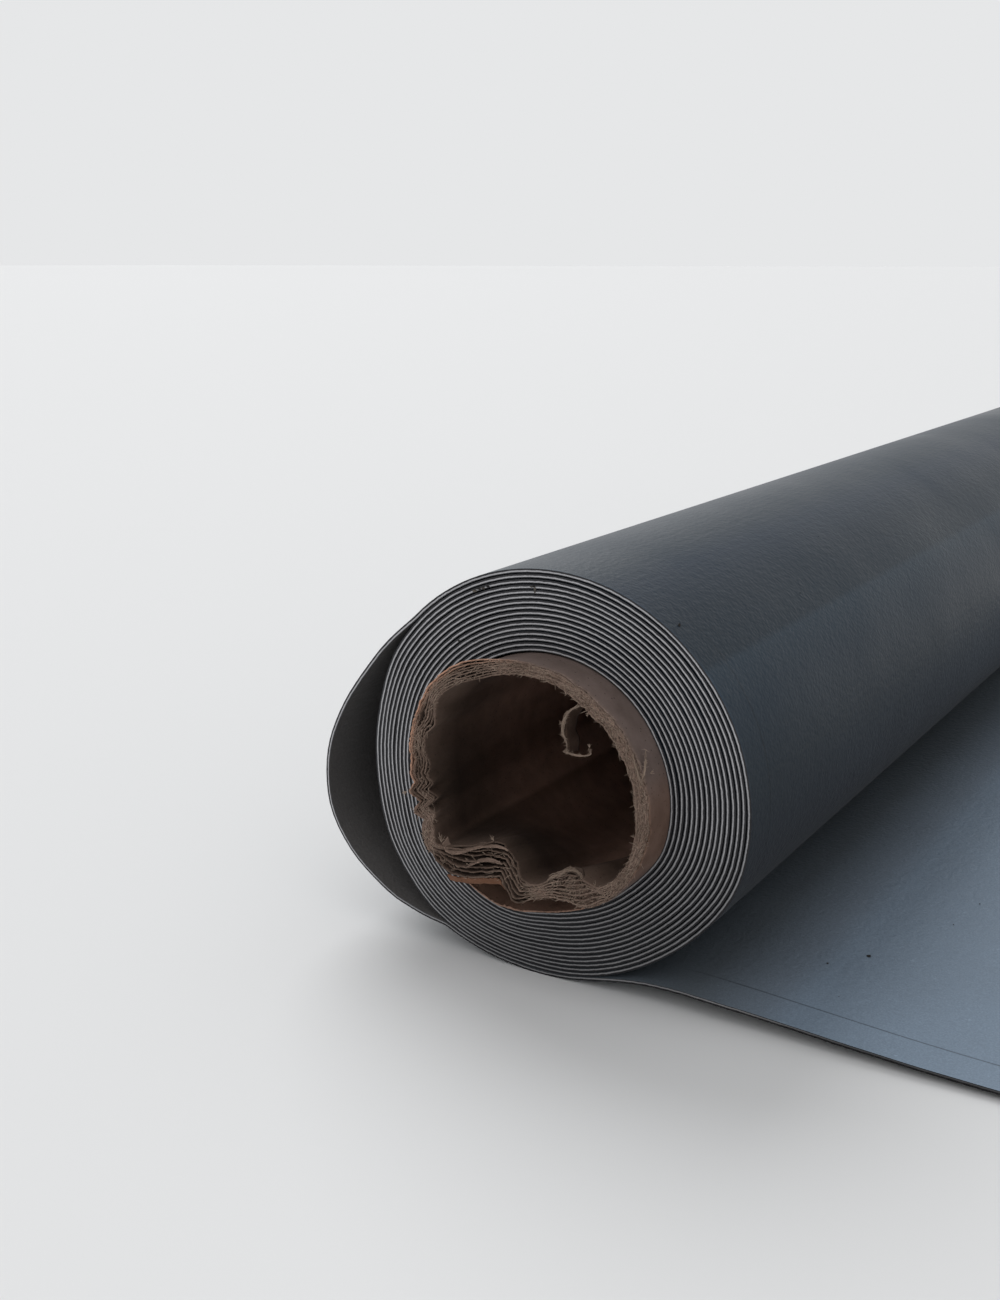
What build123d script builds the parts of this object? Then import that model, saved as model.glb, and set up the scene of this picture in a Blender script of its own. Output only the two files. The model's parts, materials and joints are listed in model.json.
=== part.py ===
from build123d import *
import math
import os

# Part-used roll of rubber roofing sheet, wound on a cardboard tube and lying on its side.
# The winding axis runs along Y and the torn end of the tube points to -Y.
# Shapes are drawn about the winding axis, with the near end face of the sheet at y = 0.

# The sheet
sheet_width = 1000.0
sheet_thickness = 1.2
turn_pitch = 1.6         # one turn and the air beside it, where the turns lie loosest
turn_count = 16          # turns on a line straight up from the axis

# The tube
tube_bore_radius = 38.1  # three inch tube
tube_wall = 3.4
tube_radius = tube_bore_radius + tube_wall
tube_slack = 0.2         # air between the tube and the first turn

wound_bore_radius = tube_radius + tube_slack

# Where the turns lie tighter: middle, half width and depth at the outermost turn
roll_dents = [(-73.0, 62.0, 4.8), (178.0, 32.0, 1.6)]

# Every other turn stands back a little on both ends. The steps between the turns are circles
# whose centres drift up and to the right, as the turns do.
turn_setback = 0.5
step_offset = 0.4        # the first step lies this part of a turn inside the first turn's edge
step_pitch = 1.48
step_drift = (1.0, 2.3)  # of the outermost turn

# The outer turn leaves the roll at the upper left, bulges and comes back at the lower left
leave_angle = 135.0
crevice_angle = 137.0
loose_turn_bulge = [
    (-61.8, 34.9),
    (-76.7, 15.0),
    (-84.3, -3.0),
    (-84.4, -22.0),
    (-75.6, -37.3),
    (-61.0, -48.6),
    (-50.9, -52.8),
    (-43.6, -54.6),
    (-37.8, -55.6),
]

# It runs on under the roll and leaves it on the right as the unrolled end of the sheet
pressed_gap = 0.25
pressed_angles = [-120.0, -113.0, -106.0, -98.0, -90.0, -82.0, -74.0]
unrolled_rise = [(25.0, 4.2), (35.0, 5.6), (47.0, 5.9), (62.0, 5.3), (85.0, 3.7), (115.0, 1.7),
                 (145.0, 0.5), (180.0, 0.0)]
unrolled_reach = 280.0

# Curved outlines are chains of arcs
roll_arcs = 14
loose_arcs = 22

# The crushed end of the tube: how much of the full dent each station along Y has
dent_stations = [(-20.0, 1.05), (5.0, 0.72), (35.0, 0.25), (60.0, 0.0)]
outer_dents = [(-92.0, 54.0, 13.0)]                       # centre, half width, depth
inner_dents = [(-93.0, 62.0, 20.0), (176.0, 26.0, 7.5)]

# Gaps between the parted plies: place in the wall, first angle, last angle, half thickness
ply_gaps = [
    (0.22, -136.0, -52.0, 0.075),
    (0.47, -142.0, -44.0, 0.085),
    (0.74, -138.0, -48.0, 0.080),
    (0.36, 158.0, 190.0, 0.070),
    (0.68, 161.0, 194.0, 0.080),
]
gap_root_y = 16.0
gap_root_share = 0.5     # how much of a gap's thickness is left at its root
gap_end_share = 0.25     # and at its two blunt ends

# Edge of the tear, as distances from the end face, seen from the side and from above
tear_from_side = [(50.0, -11.0), (38.0, -12.4), (24.0, -13.2), (8.0, -14.0),
                  (-8.0, -13.4), (-20.0, -15.0), (-32.0, -13.6), (-50.0, -14.6)]
tear_from_above = [(-50.0, -14.2), (-38.0, -13.0), (-26.0, -14.8), (-10.0, -13.8),
                   (6.0, -15.0), (22.0, -13.6), (36.0, -14.4), (50.0, -13.2)]


def polar(radius, angle, y=0.0):
    turn = math.radians(angle)
    return Vector(radius * math.cos(turn), y, radius * math.sin(turn))


def along_y(face, length):
    return extrude(face, amount=length, dir=(0, 1, 0))


def round_disc(radius, y):
    disc = Face(Wire([CenterArc((0, 0, 0), radius, 90, 360)])).rotate(Axis.X, 90)
    return disc.moved(Location((0, y, 0)))


def cylinder_along_y(radius, start, length):
    return along_y(round_disc(radius, start), length)


def dent_share(angle, centre, half_width):
    """1 in the middle of a dent and 0 at its rim, with a flat middle."""
    off = abs((angle - centre + 180.0) % 360.0 - 180.0) / half_width
    if off >= 1.0:
        return 0.0
    return math.cos(math.pi / 2 * off ** 1.6) ** 2


def dented_radius(angle, radius, dents, share):
    for centre, half_width, depth in dents:
        radius -= share * depth * dent_share(angle, centre, half_width)
    return radius


def turn_radius(turn, angle):
    radius = wound_bore_radius + turn_pitch * turn
    return dented_radius(angle, radius, roll_dents, turn / turn_count)


def roll_radius(angle):
    """Outer surface of the wound part, which grows by one pitch a turn."""
    return turn_radius(turn_count + (angle - 90.0) / 360.0, angle)


floor_z = -(roll_radius(-90.0) + pressed_gap + sheet_thickness)


def arcs_through(points):
    """A chain of arcs, each through three of the points."""
    return [ThreePointArc(*points[i:i + 3]) for i in range(0, len(points) - 2, 2)]


def roll_edge():
    """Outer surface of the last full turn, one pitch further out at its end than at its start."""
    first = crevice_angle - 360.0
    steps = 2 * roll_arcs
    angles = [first + (leave_angle - first) * i / steps for i in range(steps + 1)]
    return [polar(roll_radius(angle), angle) for angle in angles]


def loose_path():
    """Outer face of the loose turn: round the left side, under the roll and down to the floor."""
    leave = polar(roll_radius(leave_angle), leave_angle)
    bulge = [Vector(x, 0, z) for x, z in loose_turn_bulge]
    reach = pressed_gap + sheet_thickness
    pressed = [polar(roll_radius(angle) + reach, angle) for angle in pressed_angles]
    unrolled = [Vector(x, 0, floor_z + rise) for x, rise in unrolled_rise]
    leave_run = polar(1.0, leave_angle + 90.0)
    points = [leave] + bulge + pressed + unrolled
    return Spline(points, tangents=[leave_run, Vector(1, 0, 0)])


def loose_faces(path):
    """Points on the outer face of the loose turn, and on its inner face one thickness away."""
    outer = []
    inner = []
    steps = 2 * loose_arcs
    for i in range(steps + 1):
        along = path % (i / steps)
        inward = Vector(-along.Z, 0, along.X)
        outer.append(path @ (i / steps))
        inner.append(path @ (i / steps) + inward * sheet_thickness)
    return outer, inner


def end_outline():
    edge = roll_edge()
    outer, inner = loose_faces(loose_path())
    inner[0] = polar(roll_radius(crevice_angle - 360.0) + tube_slack, crevice_angle)
    floor_end = Vector(unrolled_reach, 0, outer[-1].Z)
    top_end = Vector(unrolled_reach, 0, inner[-1].Z)
    flat_part = Polyline(outer[-1], floor_end, top_end, inner[-1])
    crevice = Line(inner[0], edge[0])
    curves = arcs_through(edge) + arcs_through(outer) + arcs_through(inner)
    return Face(Wire(curves + list(flat_part.edges()) + [crevice]))


def turn_disc(turn, y, depth):
    """Everything inside the step at the outer edge of a turn."""
    steps = turn - step_offset
    share = steps / turn_count
    disc = cylinder_along_y(wound_bore_radius + step_pitch * steps, y, depth)
    return disc.moved(Location((step_drift[0] * share, 0, step_drift[1] * share)))


def turn_setbacks():
    """Cutters for every other turn on both ends, so that the turns show as steps."""
    overshoot = 1.0
    depth = turn_setback + overshoot
    cutters = []
    for start in (-overshoot, sheet_width - turn_setback):
        for turn in range(1, turn_count, 2):
            ring = turn_disc(turn, start, depth)
            if turn > 1:
                ring -= turn_disc(turn - 1, start, depth)
            cutters.append(ring)
    return cutters


def membrane_roll():
    roll = along_y(end_outline(), sheet_width)
    bore = cylinder_along_y(wound_bore_radius, -1.0, sheet_width + 2.0)
    return roll - bore - turn_setbacks()


def dented_disc(radius, dents, y, share):
    steps = 36
    points = []
    for i in range(steps):
        angle = 90.0 + 360.0 * i / steps
        points.append(polar(dented_radius(angle, radius, dents, share), angle, y))
    return Face(Wire([Spline(points, periodic=True)]))


def dented_body(radius, dents):
    discs = [dented_disc(radius, dents, y, share) for y, share in dent_stations[:-1]]
    discs.append(round_disc(radius, dent_stations[-1][0]))
    return loft(discs, ruled=True)


def share_at(y):
    for (y0, share0), (y1, share1) in zip(dent_stations, dent_stations[1:]):
        if y <= y1:
            return share0 + (share1 - share0) * (y - y0) / (y1 - y0)
    return 0.0


def gap_section(place, first, last, half, y):
    """Slit with narrow ends that follows the wall, between two parted plies."""
    share = share_at(y)
    steps = 12
    under = []
    over = []
    for i in range(steps + 1):
        angle = first + (last - first) * i / steps
        outer = dented_radius(angle, tube_radius, outer_dents, share)
        inner = dented_radius(angle, tube_bore_radius, inner_dents, share)
        bow = math.sin(math.pi * i / steps)
        swell = half * (gap_end_share + (1.0 - gap_end_share) * bow)
        under.append(polar(outer + (inner - outer) * (place - swell), angle, y))
        over.append(polar(outer + (inner - outer) * (place + swell), angle, y))
    ends = [Line(under[-1], over[-1]), Line(over[0], under[0])]
    return Face(Wire([Spline(under), ends[0], Spline(over[::-1]), ends[1]]))


def ply_gap(place, first, last, half):
    mouth = gap_section(place, first, last, half, dent_stations[0][0])
    middle = gap_section(place, first, last, half, dent_stations[1][0])
    root = gap_section(place, first, last, half * gap_root_share, gap_root_y)
    return loft([mouth, middle, root], ruled=True)


def tear_cutters():
    """Everything in front of the torn edge, once from the side and once from above."""
    front = -60.0
    reach = 60.0
    side = [Vector(-reach, y, z) for z, y in tear_from_side]
    above = [Vector(x, y, -reach) for x, y in tear_from_above]
    cutters = []
    for points, run in ((side, Vector(1, 0, 0)), (above, Vector(0, 0, 1))):
        edge = Spline(points)
        first, last = points[0], points[-1]
        corners = Polyline(last, (last.X, front, last.Z), (first.X, front, first.Z), first)
        face = Face(Wire([edge] + list(corners.edges())))
        cutters.append(extrude(face, amount=2 * reach, dir=run))
    return cutters


def core_tube():
    crushed_length = dent_stations[-1][0]
    straight = cylinder_along_y(tube_radius, crushed_length, sheet_width - crushed_length)
    bore = cylinder_along_y(tube_bore_radius, crushed_length, sheet_width - crushed_length)
    crushed = dented_body(tube_radius, outer_dents) - dented_body(tube_bore_radius, inner_dents)
    crushed -= [ply_gap(*gap) for gap in ply_gaps]
    crushed -= tear_cutters()
    return crushed + (straight - bore)


nodes = {"membrane_roll": membrane_roll(), "core_tube": core_tube()}

# Origin under the middle of the whole roll, on the surface that it lies on
box = Compound(children=[Compound(node.solids()) for node in nodes.values()]).bounding_box()
to_origin = Location((-box.center().X, -box.center().Y, -box.min.Z))

os.makedirs("parts", exist_ok=True)
for name, node in nodes.items():
    placed = Compound(node.solids()).moved(to_origin)
    export_step(placed, f"parts/{name}.step")
    print(name, "solids", len(placed.solids()), "volume", round(placed.volume))
print("winding axis at", to_origin.position, "size", box.size)
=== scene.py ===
import json
import math
import random

import bmesh
import bpy
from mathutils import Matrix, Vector, noise


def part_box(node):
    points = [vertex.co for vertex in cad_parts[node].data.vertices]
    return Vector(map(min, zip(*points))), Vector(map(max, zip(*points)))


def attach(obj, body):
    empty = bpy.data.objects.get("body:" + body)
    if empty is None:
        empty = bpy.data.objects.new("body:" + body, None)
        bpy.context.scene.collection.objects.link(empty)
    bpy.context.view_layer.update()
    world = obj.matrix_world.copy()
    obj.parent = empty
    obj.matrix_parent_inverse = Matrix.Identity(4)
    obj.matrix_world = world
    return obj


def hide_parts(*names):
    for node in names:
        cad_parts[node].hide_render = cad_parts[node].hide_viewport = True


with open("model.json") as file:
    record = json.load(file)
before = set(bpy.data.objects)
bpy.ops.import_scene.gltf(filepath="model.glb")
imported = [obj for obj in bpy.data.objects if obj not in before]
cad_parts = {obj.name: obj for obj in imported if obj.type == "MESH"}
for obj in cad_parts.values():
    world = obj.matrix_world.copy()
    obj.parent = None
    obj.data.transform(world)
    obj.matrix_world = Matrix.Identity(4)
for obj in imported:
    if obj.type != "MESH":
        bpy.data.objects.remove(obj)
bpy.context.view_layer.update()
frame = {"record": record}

mm = 0.001
degree = math.radians(1)
random.seed(7)
noise.seed_set(7)

# The winding axis runs along y. Radii and angles are about it, and angle 0 points to the unrolled end.
mounts = {m["name"]: m for m in frame["record"]["mounts"]}
axisX, _, axisZ = mounts["core_bore"]["pos_m"]
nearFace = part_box("membrane_roll")[0].y
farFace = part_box("membrane_roll")[1].y


# Places and smooth lines

def atAxis(x, y, z):  # metres from the axis, from the near face of the sheet and from the axis
    return Vector((axisX + x, nearFace + y, axisZ + z))


def pointing(angle):  # away from the axis
    return Vector((math.cos(angle * degree), 0, math.sin(angle * degree)))


def around(radius, angle, y=0.0):
    return atAxis(0, y, 0) + pointing(angle) * radius


def ringNoise(angle, depth, roundScale, depthScale):  # the same again after a full turn
    turn = angle * degree
    place = (math.cos(turn) * roundScale, math.sin(turn) * roundScale, depth * depthScale)
    return noise.noise(Vector(place))


def scaledNoise(scales, *place):  # a scale for each direction
    return noise.noise(Vector(a * b for a, b in zip(place, scales)))


def spotShare(angle, middle, halfWidth):  # 1 in the middle of a spot, 0 at its rim
    off = abs((angle - middle + 180) % 360 - 180) / halfWidth
    return math.cos(math.pi / 2 * off ** 1.6) ** 2 if off < 1 else 0.0


def ramp(value, stops):  # straight lines between (value, result) stops
    for (v0, r0), (v1, r1) in zip(stops, stops[1:]):
        if value <= v1:
            return r0 + (r1 - r0) * max(0.0, (value - v0) / (v1 - v0))
    return stops[-1][1]


def smoothStep(p0, p1, p2, p3, t):  # from p1 to p2, on a smooth line through all four
    bend = 2 * p1 + (p2 - p0) * t + (2 * p0 - 5 * p1 + 4 * p2 - p3) * t * t
    return (bend + (3 * p1 - p0 - 3 * p2 + p3) * t ** 3) / 2


def roundOutline(angle, stops):  # radius on a smooth closed outline through (angle, radius) stops
    count = len(stops)
    for i in range(count):
        start = stops[i][0]
        span = (stops[(i + 1) % count][0] - start) % 360
        into = (angle - start) % 360
        if into <= span:
            radii = [stops[(i + k) % count][1] for k in (-1, 0, 1, 2)]
            return smoothStep(*radii, into / span)
    return stops[0][1]


def smoothPath(points, step):  # points along a smooth line through the given ones
    ends = [points[0]] + points + [points[-1]]
    line = []
    for i in range(len(points) - 1):
        pieces = max(2, round((points[i + 1] - points[i]).length / step))
        line += [smoothStep(*ends[i:i + 4], k / pieces) for k in range(pieces)]
    return line + [points[-1]]


# Meshes and objects

def gridColumn(vert, columns):  # which column of a grid of size 1 a vertex is in
    return round((vert.co.x + 1) / 2 * columns)


def extrudedFaces(bm, faces):
    grown = bmesh.ops.extrude_face_region(bm, geom=faces)["geom"]
    return [g for g in grown if isinstance(g, bmesh.types.BMFace)]


def extrudedRing(bm, edges):
    grown = bmesh.ops.extrude_edge_only(bm, edges=edges)["geom"]
    ring = [g for g in grown if isinstance(g, bmesh.types.BMVert)]
    rim = set(ring)
    return ring, [g for g in grown if isinstance(g, bmesh.types.BMEdge) and rim.issuperset(g.verts)]


def numberedRing(bm, segments):  # a circle whose vertices know their number
    spoke = bm.verts.layers.int["spoke"]
    ring = bmesh.ops.create_circle(bm, segments=segments, radius=1)["verts"]
    for i, vert in enumerate(ring):
        vert[spoke] = i
    return ring, list({edge for vert in ring for edge in vert.link_edges})


def addObject(name, data):
    thing = bpy.data.objects.new(name, data)
    bpy.context.scene.collection.objects.link(thing)
    return thing


def finishPiece(bm, name, material, sharpAngle=35):
    mesh = bpy.data.meshes.new(name)
    bm.to_mesh(mesh)
    bm.free()
    mesh.materials.append(material)
    mesh.shade_smooth()
    mesh.set_sharp_from_angle(angle=sharpAngle * degree)
    piece = addObject(name, mesh)
    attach(piece, "root")
    return piece


def addThickness(piece, thickness):
    wall = piece.modifiers.new("wall", "SOLIDIFY")
    wall.thickness = thickness
    wall.offset = 0


# Colours and nodes

def srgb(red, green, blue):
    def linear(value):
        value /= 255
        return value / 12.92 if value <= 0.04045 else ((value + 0.055) / 1.055) ** 2.4
    return (linear(red), linear(green), linear(blue))


def rgba(tone):  # from a grey level, or from red, green and blue
    return (*tone, 1) if isinstance(tone, tuple) else (tone, tone, tone, 1)


def newMaterial(name):
    material = bpy.data.materials.new(name)
    material.use_nodes = True
    return material, material.node_tree, material.node_tree.nodes["Principled BSDF"]


def feed(tree, socket, value):  # another node's output, or a fixed value
    if isinstance(value, bpy.types.NodeSocket):
        tree.links.new(value, socket)
    else:
        socket.default_value = value


def addNode(tree, kind, **values):
    node = tree.nodes.new("ShaderNode" + kind)
    for key, value in values.items():
        if key in node.inputs:
            feed(tree, node.inputs[key], value)
        else:
            setattr(node, key, value)
    return node


def calc(tree, operation, *values):
    node = addNode(tree, "Math", operation=operation)
    for socket, value in zip(node.inputs, values):
        feed(tree, socket, value)
    return node.outputs["Value"]


def vectorCalc(tree, operation, *values):
    node = addNode(tree, "VectorMath", operation=operation)
    for socket, value in zip(node.inputs, values):
        feed(tree, socket, value)
    return node.outputs["Value" if operation == "LENGTH" else "Vector"]


def attribute(tree, name):
    return addNode(tree, "Attribute", attribute_name=name).outputs["Fac"]


def objectPlace(tree):
    return addNode(tree, "TexCoord").outputs["Object"]


def noiseAt(tree, place, scale, detail, roughness, stretch=(1, 1, 1), distortion=0.0):
    if stretch != (1, 1, 1):
        place = addNode(tree, "Mapping", Vector=place, Scale=stretch).outputs["Vector"]
    texture = addNode(tree, "TexNoise", Vector=place, Scale=scale, Detail=detail, Roughness=roughness,
                      Distortion=distortion)
    return texture.outputs["Fac"]


def band(tree, value, low, high):  # 0 at low, 1 at high
    spread = addNode(tree, "MapRange", **{"Value": value, "From Min": low, "From Max": high})
    return spread.outputs["Result"]


def toned(tree, value, stops):  # tones at places from 0 to 1
    node = addNode(tree, "ValToRGB", Fac=value)
    elements = node.color_ramp.elements
    while len(elements) < len(stops):
        elements.new(0.5)
    for element, (place, tone) in zip(elements, stops):
        element.position = place
        element.color = rgba(tone)
    return node.outputs["Color"]


def tonedOver(tree, value, stops, unit):  # tones at places in the given unit
    low, high = stops[0][0], stops[-1][0]
    share = band(tree, value, low * unit, high * unit)
    return toned(tree, share, [((place - low) / (high - low), tone) for place, tone in stops])


def mixed(tree, first, second, factor, blend="MIX"):
    mix = addNode(tree, "Mix", data_type="RGBA", blend_type=blend, Factor=factor)
    feed(tree, mix.inputs[6], first)  # the two colour sockets
    feed(tree, mix.inputs[7], second)
    return mix.outputs[2]


def washed(tree, colour, washes):  # a colour times each tone, as far as its share goes
    for tone, share in washes:
        colour = mixed(tree, colour, tone, share, "MULTIPLY")
    return colour


def fromAxis(tree, place):  # sideways from the axis, back from the near face and up from the axis
    axes = addNode(tree, "SeparateXYZ", Vector=place)
    return [calc(tree, "SUBTRACT", way, start) for way, start in zip(axes.outputs, (axisX, nearFace, axisZ))]


def addBump(tree, shader, height, strength, distance):
    bump = addNode(tree, "Bump", Height=height, Strength=strength, Distance=distance)
    tree.links.new(bump.outputs["Normal"], shader.inputs["Normal"])


# The wound sheet: one strip from the tube outwards, round the loose turn and out along the floor

sheet = {
    "width": 1.0,
    "thickness": 1.2 * mm,
    "firstRadius": 41.7 * mm,
    "firstStep": 1.05 * mm,      # the first turn lies at least this far outside the first radius
    "pitch": 1.6 * mm,
    "firstTurn": 0.45,           # where the strip starts, in turns from straight up
    "turns": 16,
    "stepDegrees": 3.0,
    # where the turns lie tighter: middle, half width and depth, over the whole roll and near its end
    "tightSpots": [(-73, 62, 4.8 * mm), (178, 32, 1.6 * mm)],
    "innerSpots": [(-128, 40, -4.0 * mm), (-58, 42, 2.2 * mm)],
    # uneven air between the turns, less of it where the roll lies on the floor
    "gapWander": 0.14 * mm,
    "gapTurns": (0.4, 15),
    "gapScale": (1.4, 0.55),     # round the roll and from turn to turn
    "pressedSpot": (-73, 80),
    "pressedShare": 0.8,
    # the loose turn and the unrolled end: x and z, angles on the roll, and x and height, in mm and degrees
    "leaveAngle": 135.0,
    "bulge": [(-61.8, 34.9), (-76.7, 15.0), (-84.3, -3.0), (-84.4, -22.0), (-75.6, -37.3),
              (-61.0, -48.6), (-50.9, -52.8), (-43.6, -54.6), (-37.8, -55.6)],
    "pressedGap": 0.25 * mm,
    "pressedAngles": [-120, -113, -106, -98, -90, -82, -74],
    "unrolledRise": [(25, 4.2), (35, 5.6), (47, 5.9), (62, 5.3), (85, 3.7), (115, 1.7), (145, 0.5),
                     (180, 0.0), (215, 0.0), (250, 0.0), (280, 0.0)],
    "looseStep": 4 * mm,
    # y of the strip's cross sections, and how far each one takes part in the dents near the end
    "stations": [(0.0, 1.0), (12 * mm, 0.8), (35 * mm, 0.35), (60 * mm, 0.0), (1.0, 0.0)],
    "edgeInset": 0.2 * mm,
    "edgeWander": 0.35 * mm,
    "edgeScale": (60, 1.9, 60),  # for x, the turns and z
    "edgeLift": [(60, 0.0), (120, 0.9), (170, 1.6), (280, 1.8)],  # unrolled end's near edge, x and mm
    # colours from the inner to the outer face, with two dark layers and a pale one between them; the thin
    # dark layer by the inner face is painted shade of the gap between the turns, and the blue of both faces
    # is partly painted sky light
    "section": [(0.0, srgb(122, 138, 155)), (0.03, srgb(50, 49, 51)), (0.15, srgb(56, 54, 56)),
                (0.23, srgb(185, 185, 187)), (0.50, srgb(173, 173, 176)), (0.58, srgb(56, 55, 57)),
                (0.97, srgb(51, 51, 54)), (1.0, srgb(28, 41, 52))],
    "raggedness": 1.5,           # of the limits between the layers
    "faceShare": 0.02,           # of the thickness, that has the colour of a face
    "endZone": (3 * mm, 1 * mm),     # from the near edge, where the painted shade on the near end fades in
    "tailZone": (38 * mm, 60 * mm),  # from the axis, where the unrolled end's line fades in
    # painted light and shade of the outer face against the angle round the roll: warmer low on the side as
    # painted light from the floor, and a painted highlight just below a crease at 40 degrees with painted
    # shade above it
    "sideLightTones": [(-80, 1.0), (-50, (1.4, 1.0, 0.75)), (-30, (1.5, 0.9, 0.7)), (-15, (1.25, 0.7, 0.55)),
                  (0, (1.15, 0.76, 0.62)), (10, (1, 0.8, 0.7)), (28, (0.85, 0.95, 1)),
                  (39.4, (1.2, 1.31, 1.32)), (41.5, (0.6, 0.76, 0.8)), (55, (0.45, 0.65, 0.75)),
                  (70, (0.6, 0.8, 0.98)), (80, 1.0)],
    # painted shade of the inner face against x in mm, darkest in the hollow of the loose turn and where the
    # roll shades the unrolled end
    "hollowShadeTones": [(-40, (0.63, 0.46, 0.35)), (20, (0.5, 0.46, 0.42)), (50, (0.45, 0.41, 0.37)),
                    (71, (0.69, 0.66, 0.64)), (80, 0.83), (110, 1.0)],
    "buriedShadeTone": 0.36,          # painted shade of faces that another turn lies on
    "rimHighlightTones": [(0.3, 1.5), (1.8, 1.0)],         # painted highlight on the outer face along the near edge, y in mm
    "endShadeTones": [(-40, 0.45), (-14.1, 0.74), (11.1, 0.92), (30, 1.0)],  # painted shade on the near end, darker towards the bottom, height in mm
    "endShadeSlant": 0.35,          # how much lower the painted shade reaches towards the left
    "endShadeWander": 20 * mm,
    "tailEdgeShadeTones": [(60, 1.0), (100, 0.35)],    # painted shade on the cut edge of the unrolled end, for the gap under it, x in mm
    "lineFromEdge": 14.5 * mm,   # a drawn line along the unrolled end
    "lineTones": [(0.15, 0.5), (0.5, 1.0)],       # distance from its middle in mm
    # scale, detail, roughness and stretch of the noises that colour and relief are made of
    "noises": {"broad": (7, 5, 0.6), "drawn": (60, 3, 0.6, (1, 0.08, 1)), "fine": (1700, 3, 0.6),
               "dust": (260, 6, 0.6), "dimples": (420, 1, 0.6, (1, 0.55, 1)), "layers": (430, 3, 0.6)},
    "noiseTones": {"broad": [(0.3, 0.9), (0.7, 1.1)], "drawn": [(0.3, 0.98), (0.7, 1.02)],
                   "fine": [(0.3, 0.88), (0.5, 1.0), (0.72, 1.18)],
                   "dust": [(0.0, 1.0), (0.66, 1.0), (0.74, 1.35)]},
    "poreScale": 820,
    "roughness": [(0.3, 0.36), (0.7, 0.56)],
}


def lastTurn(angle):  # how many turns the outermost one has behind it at an angle
    return sheet["turns"] + (angle - 90) / 360


def woundRadius(turn, angle, endShare):  # outer face of the sheet, at a place along the spiral
    out = turn / sheet["turns"]
    radius = sheet["firstRadius"] + max(sheet["pitch"] * turn, sheet["firstStep"])
    for middle, halfWidth, depth in sheet["tightSpots"]:
        radius -= out * depth * spotShare(angle, middle, halfWidth)
    for middle, halfWidth, depth in sheet["innerSpots"]:
        radius -= endShare * (1 - out) * depth * spotShare(angle, middle, halfWidth)
    firstGap, lastGap = sheet["gapTurns"]
    slack = 1 - sheet["pressedShare"] * spotShare(angle, *sheet["pressedSpot"])
    slack *= min(1.0, turn - firstGap, lastGap - turn)
    return radius + sheet["gapWander"] * max(0.0, slack) * ringNoise(angle, turn, *sheet["gapScale"])


def onRoll(angle, y=0.0, beyond=0.0):  # on the outermost wound turn, or beyond it
    return around(woundRadius(lastTurn(angle), angle, 0) + beyond, angle, y)


def boreRadius(angle, y):  # inner face of the innermost turn
    start = 90 + 360 * sheet["firstTurn"]
    turn = sheet["firstTurn"] + (angle - start) % 360 / 360
    return woundRadius(turn, angle, ramp(y, sheet["stations"])) - sheet["thickness"]


def looseLine():  # outer face of the loose turn and underside of the unrolled end
    reach = sheet["pressedGap"] + sheet["thickness"]
    points = [onRoll(sheet["leaveAngle"])]
    points += [atAxis(x * mm, 0, z * mm) for x, z in sheet["bulge"]]
    points += [onRoll(angle, beyond=reach) for angle in sheet["pressedAngles"]]
    points += [Vector((axisX + x * mm, nearFace, rise * mm)) for x, rise in sheet["unrolledRise"]]
    return smoothPath(points, sheet["looseStep"])


def placeSection(bm, faces, outward, outerAt, turn):  # one cross section of the strip
    stationOf = bm.verts.layers.int["station"]
    ply = bm.verts.layers.float["ply"]
    buried = bm.verts.layers.float["buried"]
    for vert in {v for face in faces for v in face.verts}:
        y, endShare = sheet["stations"][vert[stationOf]]
        spot = outerAt(endShare) + outward * (vert[ply] - 1) * sheet["thickness"]
        if turn > sheet["turns"]:
            spot.z += ramp((spot.x - axisX) / mm, sheet["edgeLift"]) * mm * endShare ** 2
        wander = scaledNoise(sheet["edgeScale"], spot.x, turn, spot.z) * sheet["edgeWander"]
        if y == 0:
            y += wander + sheet["edgeInset"]
        elif y == sheet["width"]:
            y += wander - sheet["edgeInset"]
        spot.y = nearFace + y
        vert.co = spot
        vert[buried] = 1.0 if turn < sheet["turns"] + 0.1 - vert[ply] else 0.0


def sheetStrip():
    bm = bmesh.new()
    stationOf = bm.verts.layers.int.new("station")
    ply = bm.verts.layers.float.new("ply")   # 0 on the inner face, 1 on the outer face
    bm.verts.layers.float.new("buried")      # 1 where another turn lies on that face
    lengths = len(sheet["stations"]) - 1
    bmesh.ops.create_grid(bm, x_segments=lengths, y_segments=1, size=1)
    for vert in bm.verts:
        vert[stationOf] = gridColumn(vert, lengths)
        vert[ply] = 1.0 if vert.co.y > 0 else 0.0

    faces = bm.faces[:]
    leave = sheet["leaveAngle"]
    firstAngle = 90 + 360 * (sheet["firstTurn"] - sheet["turns"])
    steps = round((leave - firstAngle) / sheet["stepDegrees"])
    for step in range(steps + 1):
        angle = firstAngle + (leave - firstAngle) * step / steps
        turn = lastTurn(angle)
        if step:
            faces = extrudedFaces(bm, faces)
        placeSection(bm, faces, pointing(angle),
                     lambda share: around(woundRadius(turn, angle, share), angle), turn)

    line = looseLine()
    looseTurn = sheet["turns"] + 0.7  # past the wound turns, so neither face counts as buried
    for i in range(1, len(line)):
        faces = extrudedFaces(bm, faces)
        run = (line[min(i + 1, len(line) - 1)] - line[i - 1]).normalized()
        placeSection(bm, faces, Vector((run.z, 0, -run.x)), lambda share: line[i], looseTurn)
    bmesh.ops.recalc_face_normals(bm, faces=bm.faces)
    return bm


def sectionColour(tree, ply, rough):  # across the thickness, with ragged limits between the layers
    rough = calc(tree, "SUBTRACT", rough, 0.5)
    within = calc(tree, "MULTIPLY", ply, calc(tree, "SUBTRACT", 1.0, ply))  # 0 on both faces
    ragged = calc(tree, "MULTIPLY", calc(tree, "MULTIPLY", rough, within), sheet["raggedness"])
    return toned(tree, calc(tree, "ADD", ply, ragged), sheet["section"])


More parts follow.
